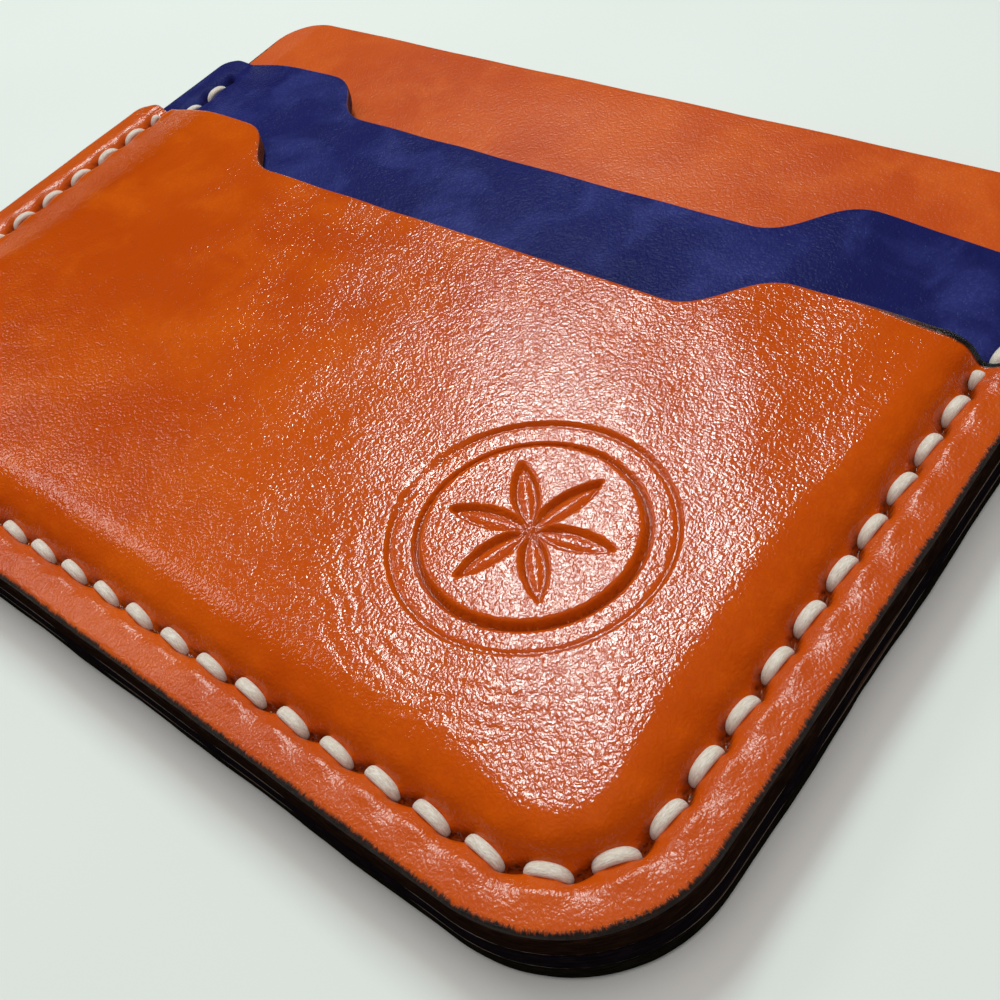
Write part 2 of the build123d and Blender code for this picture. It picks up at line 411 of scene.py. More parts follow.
def coons(bottom, right, top, left, u, v):
    """A grid of points between four edges, each given from its low end to its high end."""
    u = u[None, :, None]
    v = v[:, None, None]
    level = (1 - v) * bottom[None] + v * top[None]
    sideways = (1 - u) * left[:, None] + u * right[:, None]
    corners = (
        (1 - u) * (1 - v) * bottom[0]
        + u * (1 - v) * bottom[-1]
        + (1 - u) * v * top[0]
        + u * v * top[-1]
    )
    return level + sideways - corners


def grid_faces(rows, columns, start, flip):
    """Quads of a grid whose vertices start at a number."""
    index = start + np.arange(rows * columns).reshape(rows, columns)
    quads = np.stack([index[:-1, :-1], index[:-1, 1:], index[1:, 1:], index[1:, :-1]], -1)
    quads = quads.reshape(-1, 4)
    return (quads[:, ::-1] if flip else quads).tolist()


def rim_order(rows, columns):
    """A grid's border vertices, anticlockwise from the low left corner."""
    index = np.arange(rows * columns).reshape(rows, columns)
    return np.r_[index[0, :-1], index[:-1, -1], index[-1, :0:-1], index[:0:-1, 0]]


class Panel:
    """A leather panel as one closed mesh: a fine face, a rounded edge and a back."""

    def __init__(self, outline, face, under, u, v, bevel, low_round, back_step):
        """bevel(points) is how wide the face's rounded border is at each point."""
        self.outline = outline
        self.vertices = []
        self.edges = []
        self.faces = []
        self.count = 0
        lower_left, lower_right, upper_right, upper_left = outline.corners
        self.sides = [
            lower_left + u * (lower_right - lower_left),
            lower_right + v * (upper_right - lower_right),
            upper_left + u * (upper_right - upper_left),
            outline.length - v * (outline.length - upper_left),
        ]
        self.add_face(face, u, v, bevel)
        rim = self.add_edge(face, under, bevel, low_round, rim_order(len(v), len(u)))
        self.add_back(under, u, v, low_round + 0.35, back_step, rim)

    def add_face(self, face, u, v, bevel):
        grid = self.grid(u, v, 1, bevel)
        self.add(grid, face(*grid), 0.0)
        self.faces += grid_faces(len(v), len(u), 0, False)

    def add_edge(self, face, under, bevel, low_round, ring):
        """The bevel, the wall and the turn under it, ring by ring. Gives the last ring."""
        bottom, right, top, left = self.sides
        places = np.concatenate([bottom[:-1], right[:-1], top[:0:-1], left[:0:-1]])
        points, normals = self.outline.at(places)
        width = bevel(points)
        rim = points - normals * width[:, None]
        high = face(*rim.T)
        drop = width * 0.85
        wall_high = high - drop
        wall_low = under(*rim.T) + low_round
        turns = 2 * math.pi * places / self.outline.length
        loop = [30 * np.cos(turns), 30 * np.sin(turns)]
        uneven = 0.07 * waves(*points.T, 14, 21) + 0.015 * waves(*points.T, 3, 22)
        rough = 0.035 * waves(*loop, 1.6, 23)
        steps = [("bevel", t) for t in np.linspace(0, 1, 8)[1:]]
        steps += [("wall", t) for t in np.linspace(0, 1, 7)[1:]]
        steps += [("turn", t) for t in np.linspace(0, 1, 5)[1:]]
        for kind, t in steps:
            quarter = t * math.pi / 2
            if kind == "bevel":
                out = width * (math.sin(quarter) - 1) + uneven * t
                z = high - drop * (1 - math.cos(quarter))
                edge = t
            elif kind == "wall":
                out = 0.02 * math.sin(t * math.pi) + uneven + rough * math.sin(t * math.pi)
                z = wall_high + t * (wall_low - wall_high)
                edge = 1 + t
            else:
                out = low_round * (math.cos(quarter) - 1) + uneven
                z = wall_low - low_round * math.sin(quarter)
                edge = 2 + t
            start = self.add((points + normals * out[:, None]).T, z, edge)
            now = np.arange(start, start + len(points))
            quads = np.c_[ring, now, np.roll(now, -1), np.roll(ring, -1)]
            self.faces += quads.tolist()
            ring = now
        return ring

    def add_back(self, under, u, v, inset, step, ring):
        """A coarser grid. Each face of its border takes in several points of the edge's last ring."""
        grid = self.grid(u, v, step, lambda points: inset)
        start = self.add(grid, under(*grid), 3.0)
        columns, rows = len(u[::step]), len(v[::step])
        self.faces += grid_faces(rows, columns, start, True)
        inner = rim_order(rows, columns) + start
        for k in range(len(inner)):
            outer = [int(ring[(k * step + j) % len(ring)]) for j in range(step + 1)]
            self.faces.append([int(inner[k]), int(inner[(k + 1) % len(inner)]), *outer[::-1]])

    def grid(self, u, v, step, inset):
        """The x and y of a grid over the panel, set in from its outline."""
        edges = []
        for places in self.sides:
            points, normals = self.outline.at(places[::step])
            edges.append(points - normals * np.reshape(inset(points), (-1, 1)))
        bottom, right, top, left = edges
        spots = coons(bottom, right, top, left, u[::step], v[::step])
        return spots[..., 0], spots[..., 1]

    def add(self, plan, z, edge):
        """Adds vertices. edge is 0 on the face, up to 1 on its bevel, 2 on the wall and 3 on the back."""
        x, y, z = (np.ravel(a) for a in np.broadcast_arrays(*plan, z))
        start = self.count
        self.count += x.size
        self.vertices.append(np.c_[x, y, z])
        self.edges.append(np.full(x.size, edge))
        return start

    def build(self, name, own_marks):
        """Makes the mesh's object. own_marks(x, y) gives the marks that only this panel has."""
        vertices = np.vstack(self.vertices)
        edge = np.concatenate(self.edges)
        x, y = vertices[:, 0], vertices[:, 1]
        inset = inset_of(x, y)
        mouth = self.outline.mouth_height(x) - y
        run = np.where((mouth < 2) & (inset > 1.2), x, seam_place(x, y))
        # lip_gap_shade is painted shade, and it is 0 on every panel but the front.
        marks = {"edge": edge, "inset": inset, "lip_gap_shade": 0 * x, "mouth": mouth, "run": run, **own_marks(x, y)}
        mesh = bpy.data.meshes.new(name)
        mesh.from_pydata((vertices * MM).tolist(), [], self.faces)
        return finish_mesh(name, mesh, marks)


def finish_mesh(name, mesh, marks):
    """Shades a mesh smooth, stores its marks as point attributes and makes its object."""
    mesh.polygons.foreach_set("use_smooth", np.ones(len(mesh.polygons), bool))
    for key, values in marks.items():
        layer = mesh.attributes.new(key, "FLOAT", "POINT")
        layer.data.foreach_set("value", np.ascontiguousarray(values, np.float32))
    mesh.validate()
    thing = bpy.data.objects.new(name, mesh)
    bpy.context.scene.collection.objects.link(thing)
    return thing


# ---------------------------------------------------------------- thread meshes


STRAND_POWER = 2.3  # waxed thread pulled tight is a little squarer than round


def sweep(path, side, width, height, sides=14, power=STRAND_POWER):
    """A closed strand along a path: its vertices, faces and a coordinate along and around its fibres.

    power is 2 for a round section and more for a squarer one.
    """
    forward = np.gradient(path, axis=0)
    forward /= np.linalg.norm(forward, axis=1)[:, None]
    upward = np.cross(side, forward)
    upward /= np.linalg.norm(upward, axis=1)[:, None]
    across = np.cross(forward, upward)
    angles = np.linspace(0, 2 * math.pi, sides, endpoint=False)
    cosine = np.sign(np.cos(angles)) * np.abs(np.cos(angles)) ** (2 / power)
    sine = np.sign(np.sin(angles)) * np.abs(np.sin(angles)) ** (2 / power)
    offset = cosine[None, :, None] * (across * np.reshape(width, (-1, 1)) / 2)[:, None]
    offset = offset + sine[None, :, None] * (upward * np.reshape(height, (-1, 1)) / 2)[:, None]
    rings = path[:, None] + offset
    reach = np.r_[0, np.cumsum(np.linalg.norm(np.diff(path, axis=0), axis=1))]
    grain = np.stack(
        [
            np.broadcast_to(reach[:, None], rings.shape[:2]),
            np.broadcast_to(np.cos(angles), rings.shape[:2]),
            np.broadcast_to(np.sin(angles), rings.shape[:2]),
        ],
        axis=-1,
    )
    count = len(path)
    index = np.arange(count * sides).reshape(count, sides)
    turned = np.roll(index, -1, axis=1)
    quads = np.stack([index[:-1], turned[:-1], turned[1:], index[1:]], -1).reshape(-1, 4)
    faces = quads.tolist() + [index[0, ::-1].tolist(), index[-1].tolist()]
    return rings.reshape(-1, 3), faces, grain.reshape(-1, 3)


def bundle(name, strands):
    """One mesh of many strands. Each gets a number of its own, so that their shades differ."""
    vertices, faces, grain, tone = [], [], [], []
    start = 0
    for points, polygons, coordinate in strands:
        shift = rng.uniform(0, 50)
        vertices.append(points)
        faces += [[index + start for index in polygon] for polygon in polygons]
        grain.append(coordinate + [shift, 0, 0])
        tone.append(np.full(len(points), rng.uniform()))
        start += len(points)
    mesh = bpy.data.meshes.new(name)
    mesh.from_pydata((np.vstack(vertices) * MM).tolist(), [], faces)
    grain = np.vstack(grain)
    marks = {"along": grain[:, 0], "round_x": grain[:, 1], "round_y": grain[:, 2]}
    return finish_mesh(name, mesh, {**marks, "tone": np.concatenate(tone)})


def stitch(number, high_start, high_end, proud, up=1):
    """A stitch from one slit to the next, pulled down into both. Its ends may lie at different heights."""
    first, first_lean = slit(number)
    last, last_lean = slit(number + 1)
    a = first + STRAND_OFFSET * first_lean
    b = last - STRAND_OFFSET * last_lean
    run = b - a
    length = np.linalg.norm(run)
    ahead = run / length
    middle = (a + b) / 2 + rng.normal(0, 0.03, 2)
    wobble = rng.normal(0, math.radians(1.6))
    cosine, sine = math.cos(wobble), math.sin(wobble)
    ahead = np.array([ahead[0] * cosine - ahead[1] * sine, ahead[0] * sine + ahead[1] * cosine])
    turn = np.linspace(0, math.pi, 33)
    reach = -np.sign(np.cos(turn)) * np.abs(np.cos(turn)) ** (2 / STRAND_POWER) * (length / 2 - 0.27)
    arch = np.sin(turn) ** (2 / STRAND_POWER)
    share = reach / length + 0.5
    seat = high_start + (high_end - high_start) * smooth(0.25, 0.75, share)
    full = rng.uniform(0.96, 1.04)
    width = (0.5 + 0.38 * np.sin(turn) ** 0.6) * full
    height = (0.42 + 0.16 * np.sin(turn) ** 0.7) * full
    crown = proud + rng.normal(0, 0.02) - 0.29
    z = seat + up * (crown - (1 - arch) - 0.05 * (2 * share - 1) ** 2)
    path = np.c_[middle + reach[:, None] * ahead, z]
    side = np.array([ahead[1], -ahead[0], 0.0])
    return sweep(path, side, width, height)


def upright(point, low, high, diameter):
    """A straight strand through the leather."""
    z = np.linspace(low, high, 5)
    path = np.c_[np.broadcast_to(point, (5, 2)), z]
    wide = np.full(5, diameter)
    return sweep(path, np.array([1.0, 0.0, 0.0]), wide, wide, 10, 2.0)


# ---------------------------------------------------------------- node materials


class Nodes:
    """A material's node tree, written as short calls."""

    def __init__(self, name):
        self.material = bpy.data.materials.new(name)
        self.material.use_nodes = True
        self.tree = self.material.node_tree
        self.tree.nodes.clear()
        self.output = self.tree.nodes.new("ShaderNodeOutputMaterial")
        self.shader = self.tree.nodes.new("ShaderNodeBsdfPrincipled")
        self.join(self.shader.outputs[0], self.output.inputs["Surface"])

    def join(self, source, socket):
        self.tree.links.new(source, socket)

    def put(self, socket, value):
        if isinstance(value, bpy.types.NodeSocket):
            self.join(value, socket)
        else:
            socket.default_value = value

    def place(self):
        """Object coordinates, in millimetres."""
        node = self.tree.nodes.new("ShaderNodeTexCoord")
        return self.vector("SCALE", node.outputs["Object"], scale=1 / MM)

    def vector(self, operation, a, b=None, scale=None):
        node = self.tree.nodes.new("ShaderNodeVectorMath")
        node.operation = operation
        self.put(node.inputs[0], a)
        if b is not None:
            self.put(node.inputs[1], b)
        if scale is not None:
            self.put(node.inputs["Scale"], scale)
        return node.outputs[0]

    def mark(self, name):
        """One of the mesh's own point attributes."""
        node = self.tree.nodes.new("ShaderNodeAttribute")
        node.attribute_name = name
        return node.outputs["Fac"]

    def combine(self, x, y, z):
        node = self.tree.nodes.new("ShaderNodeCombineXYZ")
        for socket, value in zip(node.inputs, (x, y, z)):
            self.put(socket, value)
        return node.outputs[0]

    def math(self, operation, a, b=0.0):
        node = self.tree.nodes.new("ShaderNodeMath")
        node.operation = operation
        self.put(node.inputs[0], a)
        self.put(node.inputs[1], b)
        return node.outputs[0]

    def ramp(self, value, low, high, to_low=0.0, to_high=1.0):
        """An S from one number to another, as the value goes from low to high."""
        node = self.tree.nodes.new("ShaderNodeMapRange")
        node.interpolation_type = "SMOOTHSTEP"
        sockets = ("Value", "From Min", "From Max", "To Min", "To Max")
        for socket, number in zip(sockets, (value, low, high, to_low, to_high)):
            self.put(node.inputs[socket], number)
        return node.outputs[0]

    def noise(self, vector, scale, detail=2.0, roughness=0.5, distortion=0.0):
        node = self.tree.nodes.new("ShaderNodeTexNoise")
        self.put(node.inputs["Vector"], vector)
        node.inputs["Scale"].default_value = scale
        node.inputs["Detail"].default_value = detail
        node.inputs["Roughness"].default_value = roughness
        node.inputs["Distortion"].default_value = distortion
        return node.outputs["Fac"]

    def cells(self, vector, scale, feature="F1", smoothness=0.4):
        """The distance to the middle of the nearest cell."""
        node = self.tree.nodes.new("ShaderNodeTexVoronoi")
        node.feature = feature
        self.put(node.inputs["Vector"], vector)
        node.inputs["Scale"].default_value = scale
        if feature == "SMOOTH_F1":
            node.inputs["Smoothness"].default_value = smoothness
        return node.outputs["Distance"]

    def mix(self, share, a, b):
        """A colour between two others."""
        node = self.tree.nodes.new("ShaderNodeMix")
        node.data_type = "RGBA"
        node.clamp_factor = True
        self.put(node.inputs[0], share)
        self.put(node.inputs[6], a)
        self.put(node.inputs[7], b)
        return node.outputs[2]

    def blend(self, share, a, b):
        """A number between two others."""
        node = self.tree.nodes.new("ShaderNodeMix")
        node.data_type = "FLOAT"
        node.clamp_factor = True
        self.put(node.inputs[0], share)
        self.put(node.inputs[2], a)
        self.put(node.inputs[3], b)
        return node.outputs[0]

    def bump(self, height, strength, distance, below=None):
        node = self.tree.nodes.new("ShaderNodeBump")
        node.inputs["Strength"].default_value = strength
        node.inputs["Distance"].default_value = distance * MM
        self.put(node.inputs["Height"], height)
        if below is not None:
            self.join(below, node.inputs["Normal"])
        return node.outputs[0]

    def total(self, *terms):
        result = terms[0]
        for term in terms[1:]:
            result = self.math("ADD", result, term)
        return result

    def times(self, a, b):
        return self.math("MULTIPLY", a, b)


def colour(red, green, blue):
    """A display colour from 0 to 255 as the linear one that shaders take."""
    shares = [channel / 255 for channel in (red, green, blue)]
    return (*[c / 12.92 if c <= 0.04045 else ((c + 0.055) / 1.055) ** 2.4 for c in shares], 1.0)


# A leather's dye in three shades, its roughness, gloss and depth of grain, and its edge in two shades.
Look = namedtuple("Look", "deep body bright rough shine grain edge_dark edge_light")
MARGIN = (3.9, 3.1)  # the insets over which the face turns into its pressed margin


def dye(n, look, place, mottle):
    """The face's colour: clouds in the dye, darker pores, painted shade where the gloss falls, painted shade
    in the slits, and a darker stamp where it is sunk.
    """
    clouds = n.noise(place, 0.045, 3.0, 0.55)
    patches = n.noise(place, 0.16, 4.0, 0.6, 0.4)
    tint = n.mix(n.ramp(clouds, 0.38, 0.62), look.deep, look.body)
    tint = n.mix(n.ramp(patches, 0.42, 0.72, 0.0, 0.8), tint, look.bright)
    tint = n.mix(n.ramp(mottle, 0.5, 0.8, 0.0, 0.3), tint, look.deep)
    # Painted shade: the colour is darker across the stamp and the right half, where the window's gloss falls,
    # so the gloss there lies on a darker base.
    tint = n.mix(n.times(n.mark("tan"), n.ramp(mottle, 0.3, 0.6, 0.35, 0.8)), tint, look.deep)
    pores = n.cells(place, 2.3)
    tint = n.mix(n.ramp(pores, 0.16, 0.05, 0.0, 0.3), tint, look.deep)
    # Painted shade in the slits, and darkening where the stamp is sunk deepest, both towards a near-black
    # brown.
    return n.mix(n.mark("slit_shade_and_stamp_dark"), tint, n.mix(0.85, look.deep, colour(20, 6, 4)))


def pebbles(n, place, run, inset):
    """The face's height, and a mask that is 1 in its valleys, for painted shade there: pebbles of two sizes,
    a fine tooth and a combed margin.
    """
    warp = n.combine(n.noise(place, 0.9, 2.0), n.noise(place, 1.0, 2.0), 0.5)
    bent = n.vector("ADD", place, n.vector("SCALE", warp, scale=0.7))
    pebble = n.cells(bent, 3.4, "SMOOTH_F1", 0.3)
    small = n.cells(bent, 6.0, "SMOOTH_F1", 0.3)
    tooth = n.noise(place, 6.0, 1.0, 0.5)
    swell = n.noise(place, 0.5, 3.0, 0.55)
    scratch = n.noise(n.combine(n.times(run, 5.0), n.times(inset, 1.6), 0.0), 1.0, 2.0, 0.6)
    combed = n.times(scratch, n.ramp(inset, *MARGIN))
    domes = n.total(n.times(pebble, -0.5), n.times(small, -0.3))
    height = n.total(domes, n.times(tooth, 0.3), n.times(swell, 0.1), n.times(combed, 0.7))
    depth = n.total(pebble, n.times(small, 0.5), n.times(tooth, -0.5))
    return height, n.ramp(depth, 0.22, 0.5)


def burnish(n, place, mouth, inset, edge, hair, closed):
    """1 where the edge's dark finish is: on the edge itself, and in a feathered border on the face. Where
    lip_gap_shade is set, the border reaches further from the mouth as painted shade.
    """
    patchy = n.noise(place, 0.35, 2.0)
    # Painted shade: where lip_gap_shade is set, the dark border reaches up to 0.6 mm further from the lip,
    # for the shadowed gap under the front lip's right end.
    from_mouth = n.math("ADD", mouth, n.times(n.mark("lip_gap_shade"), -0.6))
    reach = n.blend(closed, from_mouth, inset)
    hairs = n.times(n.math("SUBTRACT", hair, 0.5), 0.8)
    blotches = n.times(n.math("SUBTRACT", patchy, 0.5), 0.35)
    ragged = n.times(n.total(hairs, blotches), n.blend(closed, 0.2, 1.0))
    limit = n.blend(closed, 0.1, 0.5)
    border = n.ramp(n.math("SUBTRACT", n.math("SUBTRACT", limit, reach), ragged), -0.12, 0.14)
    on_edge = n.times(n.ramp(edge, 0.5, 0.9), n.ramp(edge, 2.9, 2.5))
    return n.math("MAXIMUM", border, on_edge)


def leather(name, look, is_edge):
    """Dyed full-grain leather with a pebbled face and a burnished edge. The edge's own copy has no shine."""
    n = Nodes(name + ("_edge" if is_edge else ""))
    place = n.place()
    edge = n.mark("edge")
    mouth = n.mark("mouth")
    run = n.mark("run")
    inset = n.mark("inset")
    closed = n.ramp(mouth, 0.9, 2.2)  # 0 at the panel's mouth and 1 along its sewn edges

    mottle = n.noise(place, 1.1, 4.0, 0.65)
    height, painted_valley_shade = pebbles(n, place, run, inset)
    # Painted shade: the colour darkens towards the deep shade in the pebbles' valleys.
    tint = n.mix(n.times(painted_valley_shade, 0.3), dye(n, look, place, mottle), look.deep)

    hair = n.noise(n.combine(n.times(run, 8.0), n.times(inset, 1.1), 0.0), 1.0, 4.0, 0.75)
    burnt = burnish(n, place, mouth, inset, edge, hair, closed)
    streak = n.noise(n.combine(n.times(run, 0.9), n.times(edge, 6.0), 0.0), 1.0, 5.0, 0.7)
    edge_shade = n.mix(n.ramp(streak, 0.35, 0.75), look.edge_dark, look.edge_light)
    raw_dark = n.mix(0.5, look.deep, colour(50, 22, 16))
    lip_shade = n.mix(n.ramp(streak, 0.3, 0.7), raw_dark, colour(140, 92, 80))
    # Painted shade: towards the front lip's right end the lip's colour turns to the edge's near-black, for
    # the shadowed gap under it.
    lip_shade = n.mix(n.mark("lip_gap_shade"), lip_shade, look.edge_dark)
    n.join(n.mix(burnt, tint, n.mix(closed, lip_shade, edge_shade)), n.shader.inputs["Base Color"])

    wear = n.times(n.math("SUBTRACT", mottle, 0.5), 0.075)
    dull = n.total(n.times(n.ramp(inset, *MARGIN), 0.12), n.times(burnt, 0.2))
    n.join(n.total(look.rough, wear, dull), n.shader.inputs["Roughness"])
    n.shader.inputs["Specular IOR Level"].default_value = 0.0 if is_edge else look.shine

    ridges = n.noise(n.combine(n.times(run, 0.35), n.times(edge, 7.0), 0.0), 1.0, 4.0, 0.65)
    face = n.bump(height, look.grain, 0.13)
    rim = n.times(n.total(ridges, n.times(hair, 0.4)), burnt)
    n.join(n.bump(rim, 0.5, 0.3, face), n.shader.inputs["Normal"])
    return n.material


def thread_material():
    """Waxed cream thread: fibres along it, slightly soiled in streaks along its twist."""
    n = Nodes("waxed_thread")
    grain = n.combine(n.times(n.mark("along"), 0.6), n.mark("round_x"), n.mark("round_y"))
    fibres = n.noise(grain, 4.5, 4.0, 0.7, 0.3)
    twist = n.combine(n.math("ADD", n.times(n.mark("along"), 1.3), n.mark("round_x")), n.mark("round_y"), 0.0)
    plies = n.noise(twist, 2.2, 3.0, 0.6)
    tint = n.mix(n.ramp(fibres, 0.3, 0.75), colour(206, 190, 172), colour(246, 240, 228))
    tint = n.mix(n.ramp(n.mark("tone"), 0.0, 1.0, 0.0, 0.35), tint, colour(222, 208, 190))
    tint = n.mix(n.ramp(plies, 0.62, 0.8, 0.0, 0.5), tint, colour(150, 112, 84))
    n.join(tint, n.shader.inputs["Base Color"])
    n.shader.inputs["Roughness"].default_value = 0.52
    n.shader.inputs["Sheen Weight"].default_value = 0.25
    n.join(n.bump(n.total(fibres, n.times(plies, 0.7)), 0.55, 0.12), n.shader.inputs["Normal"])
    return n.material


def cement_material():
    """A film of dried contact cement, the brown of what it holds."""
    n = Nodes("contact_cement")
    lumps = n.noise(n.place(), 1.6, 4.0, 0.6)
    n.join(n.mix(lumps, colour(46, 30, 22), colour(92, 66, 44)), n.shader.inputs["Base Color"])
    n.shader.inputs["Roughness"].default_value = 0.55
    n.join(n.bump(lumps, 0.4, 0.2), n.shader.inputs["Normal"])
    return n.material


ORANGE_LOOK = Look(
    deep=colour(190, 71, 6),
    body=colour(206, 86, 8),
    bright=colour(213, 94, 11),
    rough=0.14,
    shine=0.5,
    grain=0.37,
    edge_dark=colour(18, 11, 8),
    edge_light=colour(46, 28, 19),
)
NAVY_LOOK = Look(
    deep=colour(26, 29, 80),
    body=colour(31, 34, 94),
    bright=colour(54, 60, 126),
    rough=0.3,
    shine=0.035,
    grain=0.5,
    edge_dark=colour(12, 9, 12),
    edge_light=colour(31, 23, 29),
)
RUSSET_LOOK = Look(
    deep=colour(190, 72, 14),
    body=colour(207, 88, 18),
    bright=colour(214, 98, 28),
    rough=0.3,
    shine=0.25,
    grain=0.3,
    edge_dark=colour(13, 11, 8),
    edge_light=colour(36, 31, 22),
)


def leathers(name, look):
    """A panel's two materials, for its face and for its edge."""
    return [leather(name, look, is_edge) for is_edge in (False, True)]


ORANGE = leathers("front_leather", ORANGE_LOOK)
NAVY = leathers("middle_leather", NAVY_LOOK)
RUSSET = leathers("back_leather", RUSSET_LOOK)
THREAD = [thread_material()]
CEMENT = cement_material()


# ---------------------------------------------------------------- the pieces


def piece(thing, materials, slot_name, *nodes):
    """Finishes a made piece. A second material goes on its edge, from halfway down the bevel to the turn."""
    mesh = thing.data
    for material in materials:
        mesh.materials.append(material)
    if len(materials) == 2:
        edge = np.empty(len(mesh.vertices), np.float32)
        mesh.attributes["edge"].data.foreach_get("value", edge)
        corners = [edge[list(face.vertices)] for face in mesh.polygons]
        on_edge = [values.min() >= 0.45 and values.max() < 2.7 for values in corners]
        mesh.polygons.foreach_set("material_index", np.array(on_edge, np.int32))
    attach(thing, "root")
    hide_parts(*nodes)


def bevel_width(points, sewn, lip):
    """The width of a panel's rounded border, which is one thing where it is sewn and another at its mouth."""
    x, y = points.T
    at_mouth = smooth(0.9, 2.4, inset_of(x, y)) * smooth(BOTTOM + CORNER, BOTTOM + CORNER + 4, y)
    return sewn + (lip - sewn) * at_mouth


def sewn_width(points, cover, free):
    """The width along sewn edges: next to nothing below cover, where the next panel's mouth is, then free."""
    return 0.07 + (free - 0.07) * smooth(cover - 0.4, cover + 0.6, points[:, 1])


def front_bevel(points):
    return bevel_width(points, 0.85, 0.32)


def middle_bevel(points):
    return bevel_width(points, sewn_width(points, FRONT_TOP, 0.7), 0.32)


def back_bevel(points):
    return bevel_width(points, sewn_width(points, MIDDLE_TOP, 0.6), 0.5)


def front_marks(x, y):
    """Painted shade in the front panel's slits, a darker stamp where it is sunk, painted shade in the gap
    under its lip's right end, and painted shade where the gloss falls over its right half.
    """
    distance = np.hypot(x - STAMP_AT[0], y - STAMP_AT[1])
    height = stamp_relief(x, y)
    sunk = smooth(-0.16, -0.42, height) * (distance < STAMP_RADIUS + 1)
    return {
        # Painted shade in the slits; darker where the stamp is sunk deepest.
        "slit_shade_and_stamp_dark": np.maximum(0.6 * sunk, smooth(0.12, 0.5, slit_mark(x, y))),
        # Painted shade for the shadowed gap under the lip, growing towards the right seam.
        "lip_gap_shade": smooth(31, 42, x) * smooth(3, 1, FRONT_TOP - y),
        # Painted shade where the gloss falls: a darker base about the stamp and over the right half.
        "tan": smooth(32, 8, np.hypot(x - 30, (y + 9) * 0.8)),
    }


def plain_marks(x, y):
    """Painted shade in the slits of a panel without a stamp."""
    return {"slit_shade_and_stamp_dark": smooth(0.15, 0.6, slit_mark(x, y))}


def back_under(x, y):
    """The wallet's back, with the trough that its stitches lie in."""
    off = inset_of(x, y) - SEAM_INSET
    place = seam_place(x, y)
    end = STITCHES * PITCH
    ends = smooth(-1.6, -0.6, place) * smooth(end + 1.6, end + 0.6, place)
    return 0.62 * ends * np.exp(-((off / 0.75) ** 2))


front_outline = Outline(FRONT_TOP, TAB_CORNER, True)
middle_outline = Outline(MIDDLE_TOP, TAB_CORNER, True)
back_outline = Outline(BACK_TOP, BACK_TOP_CORNER, False)


def shares(outline, fine, coarse, columns, rows):
    """A panel's grid: fine near its edges and at the spots given, coarse elsewhere, in millimetres."""
    lower_left, lower_right, upper_right, _ = outline.corners
    across = spacing(lower_right - lower_left, fine, coarse, 7, columns)
    upward = spacing(upper_right - lower_right, fine, coarse, 7, rows)
    return across, upward


def front_under(x, y):
    return front_base(x, y) - LEATHER


def middle_under(x, y):
    return middle_base(x, y) - LEATHER


u, v = shares(front_outline, 0.2, 0.75, [(60, 84, 0.15)], [(7, 35, 0.16)])
front = Panel(front_outline, front_face, front_under, u, v, front_bevel, low_round=0.05, back_step=4)
piece(front.build("front_pocket_leather", front_marks), ORANGE, "front_leather", "front_pocket")

u, v = shares(middle_outline, 0.25, 0.6, [], [(42, 60, 0.25)])
middle = Panel(middle_outline, middle_face, middle_under, u, v, middle_bevel, low_round=0.06, back_step=4)
piece(middle.build("middle_pocket_leather", plain_marks), NAVY, "middle_leather", "middle_pocket")

u, v = shares(back_outline, 0.3, 0.5, [], [])
back = Panel(back_outline, back_face, back_under, u, v, back_bevel, low_round=0.6, back_step=1)
piece(back.build("back_panel_leather", plain_marks), RUSSET, "back_leather", "back_panel")

left_edge, right_edge = EDGE_STITCHES
front_numbers = range(left_edge + 1, right_edge)
middle_numbers = [*range(left_edge), *range(right_edge + 1, STITCHES)]
strands = [stitch(k, FRONT_SEAT, FRONT_SEAT, FRONT_PROUD) for k in front_numbers]
piece(bundle("front_pocket_stitches", strands), THREAD, "waxed_thread", "front_stitches")
strands = [stitch(k, MIDDLE_SEAT, MIDDLE_SEAT, FRONT_PROUD) for k in middle_numbers]
piece(bundle("middle_pocket_stitches", strands), THREAD, "waxed_thread", "middle_stitches")
strands = [
    stitch(left_edge, MIDDLE_SEAT, FRONT_SEAT, FRONT_PROUD),
    stitch(right_edge, FRONT_SEAT, MIDDLE_SEAT, FRONT_PROUD),
]
piece(bundle("edge_stitch_strands", strands), THREAD, "waxed_thread", "edge_stitches")
strands = [stitch(k, BACK_SEAT, BACK_SEAT, BACK_PROUD, up=-1) for k in range(STITCHES)]
piece(bundle("back_stitch_strands", strands), THREAD, "waxed_thread", "back_stitches")

# The strands end well inside the leather, so that none shows in a slit.
strands = []
for number in range(STITCHES + 1):
    point, lean = slit(number)
    on_front = left_edge < number <= right_edge
    high = FRONT_SEAT if on_front else MIDDLE_SEAT
    for shift in (-1, 1):
        strands.append(upright(point + shift * STRAND_OFFSET * lean, 0.8, high - 1.5, 0.55))
piece(bundle("thread_in_slits", strands), THREAD, "waxed_thread", "thread_crossings")

point, lean = slit(STITCHES)
end_point = point + STRAND_OFFSET * lean
z = np.linspace(0.75, 0.12, 7)
bead = 0.5 + 0.45 * smooth(0.6, 0.2, z)
path = np.c_[end_point + rng.normal(0, 0.02, (7, 2)), z]
knob = sweep(path, np.array([1.0, 0.0, 0.0]), bead, bead * 0.9, 14, 2.0)
piece(bundle("melted_thread_end", [knob]), THREAD, "waxed_thread", "thread_ends")

for name in ("rear_cement", "front_cement"):
    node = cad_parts[name]
    node.data.materials.clear()
    node.data.materials.append(CEMENT)


# ---------------------------------------------------------------- floor, light and camera


def floor_material():
    """The pale, slightly uneven white of the surface in the photo."""
    n = Nodes("pale_floor")
    soft = n.noise(n.place(), 0.02, 2.0)
    n.join(n.mix(soft, colour(222, 228, 222), colour(232, 236, 231)), n.shader.inputs["Base Color"])
    n.shader.inputs["Roughness"].default_value = 0.6
    return n.material


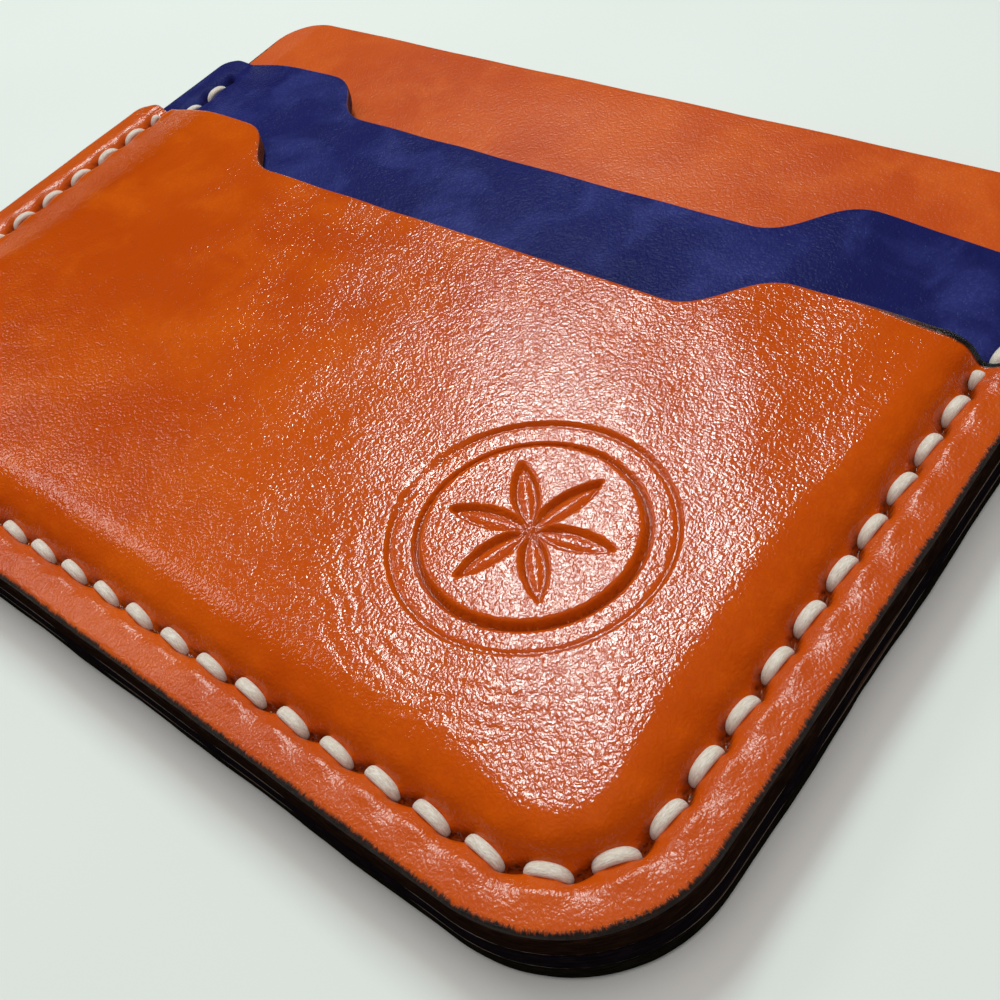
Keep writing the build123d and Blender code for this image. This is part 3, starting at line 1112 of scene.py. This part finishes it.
reach = 4.0
corners = [(-reach, -reach, 0), (reach, -reach, 0), (reach, reach, 0), (-reach, reach, 0)]
floor_mesh = bpy.data.meshes.new("floor")
floor_mesh.from_pydata(corners, [], [(0, 1, 2, 3)])
floor = bpy.data.objects.new("floor", floor_mesh)
bpy.context.scene.collection.objects.link(floor)
floor_mesh.materials.append(floor_material())


def area_light(name, azimuth, elevation, distance, size, power, tint, glossy=True, roll=0):
    """A window-like light that faces the wallet, in metres. Azimuth turns from +X towards +Y."""
    data = bpy.data.lights.new(name, "AREA")
    data.shape = "RECTANGLE"
    data.size, data.size_y = size
    data.energy = power
    data.color = tint
    lamp = bpy.data.objects.new(name, data)
    turn, lift = math.radians(azimuth), math.radians(elevation)
    direction = Vector((math.cos(turn) * math.cos(lift), math.sin(turn) * math.cos(lift), math.sin(lift)))
    lamp.location = LIT_SPOT + direction * distance
    facing = direction.to_track_quat("Z", "Y")
    lamp.rotation_euler = (facing @ Quaternion((0, 0, 1), math.radians(roll))).to_euler()
    lamp.visible_glossy = glossy
    bpy.context.scene.collection.objects.link(lamp)


# The window makes the gloss across the stamp, the left window a weak one at the far left, and the
# overhead light the rest: it lights the leather but makes no gloss.
LIT_SPOT = Vector((0.02, -0.01, 0.005))
area_light("window", 135, 53, 0.6, (0.065, 0.23), power=1.65, tint=(0.8, 1.0, 0.97), roll=-19)
area_light("left_window", 178, 41, 0.7, (0.16, 0.12), power=0.36, tint=(1.0, 0.98, 0.96))
area_light("overhead", 20, 86, 1.3, (1.2, 1.2), power=9.7, tint=(1.0, 0.88, 0.86), glossy=False)

world = bpy.data.worlds.new("studio")
world.use_nodes = True
sky = world.node_tree.nodes["Background"]
sky.inputs["Color"].default_value = (0.9, 0.95, 1.0, 1.0)
sky.inputs["Strength"].default_value = 0.2
bpy.context.scene.world = world
world.cycles_visibility.glossy = False
bpy.context.scene.view_settings.view_transform = "Standard"

# The camera stands over the near right corner and looks across the wallet.
CAMERA_PLACE = (64.107, -49.561, 67.414)
CAMERA_LOOKS = (-0.55661, 0.40735, -0.72405)
CAMERA_UP = (-0.36324, 0.66449, 0.65308)
camera_data = bpy.data.cameras.new("camera")
camera_data.sensor_width = 36.0
camera_data.lens = 43.78
camera_data.shift_x = 0.0755
camera_data.shift_y = -0.0155
camera_data.clip_start = 0.005
camera_data.clip_end = 20.0
camera = bpy.data.objects.new("camera", camera_data)
look = Vector(CAMERA_LOOKS).normalized()
right = look.cross(Vector(CAMERA_UP)).normalized()
axes = Matrix((right, right.cross(look), -look)).transposed()
camera.matrix_world = Matrix.Translation(Vector(CAMERA_PLACE) * MM) @ axes.to_4x4()
bpy.context.scene.collection.objects.link(camera)
bpy.context.scene.camera = camera
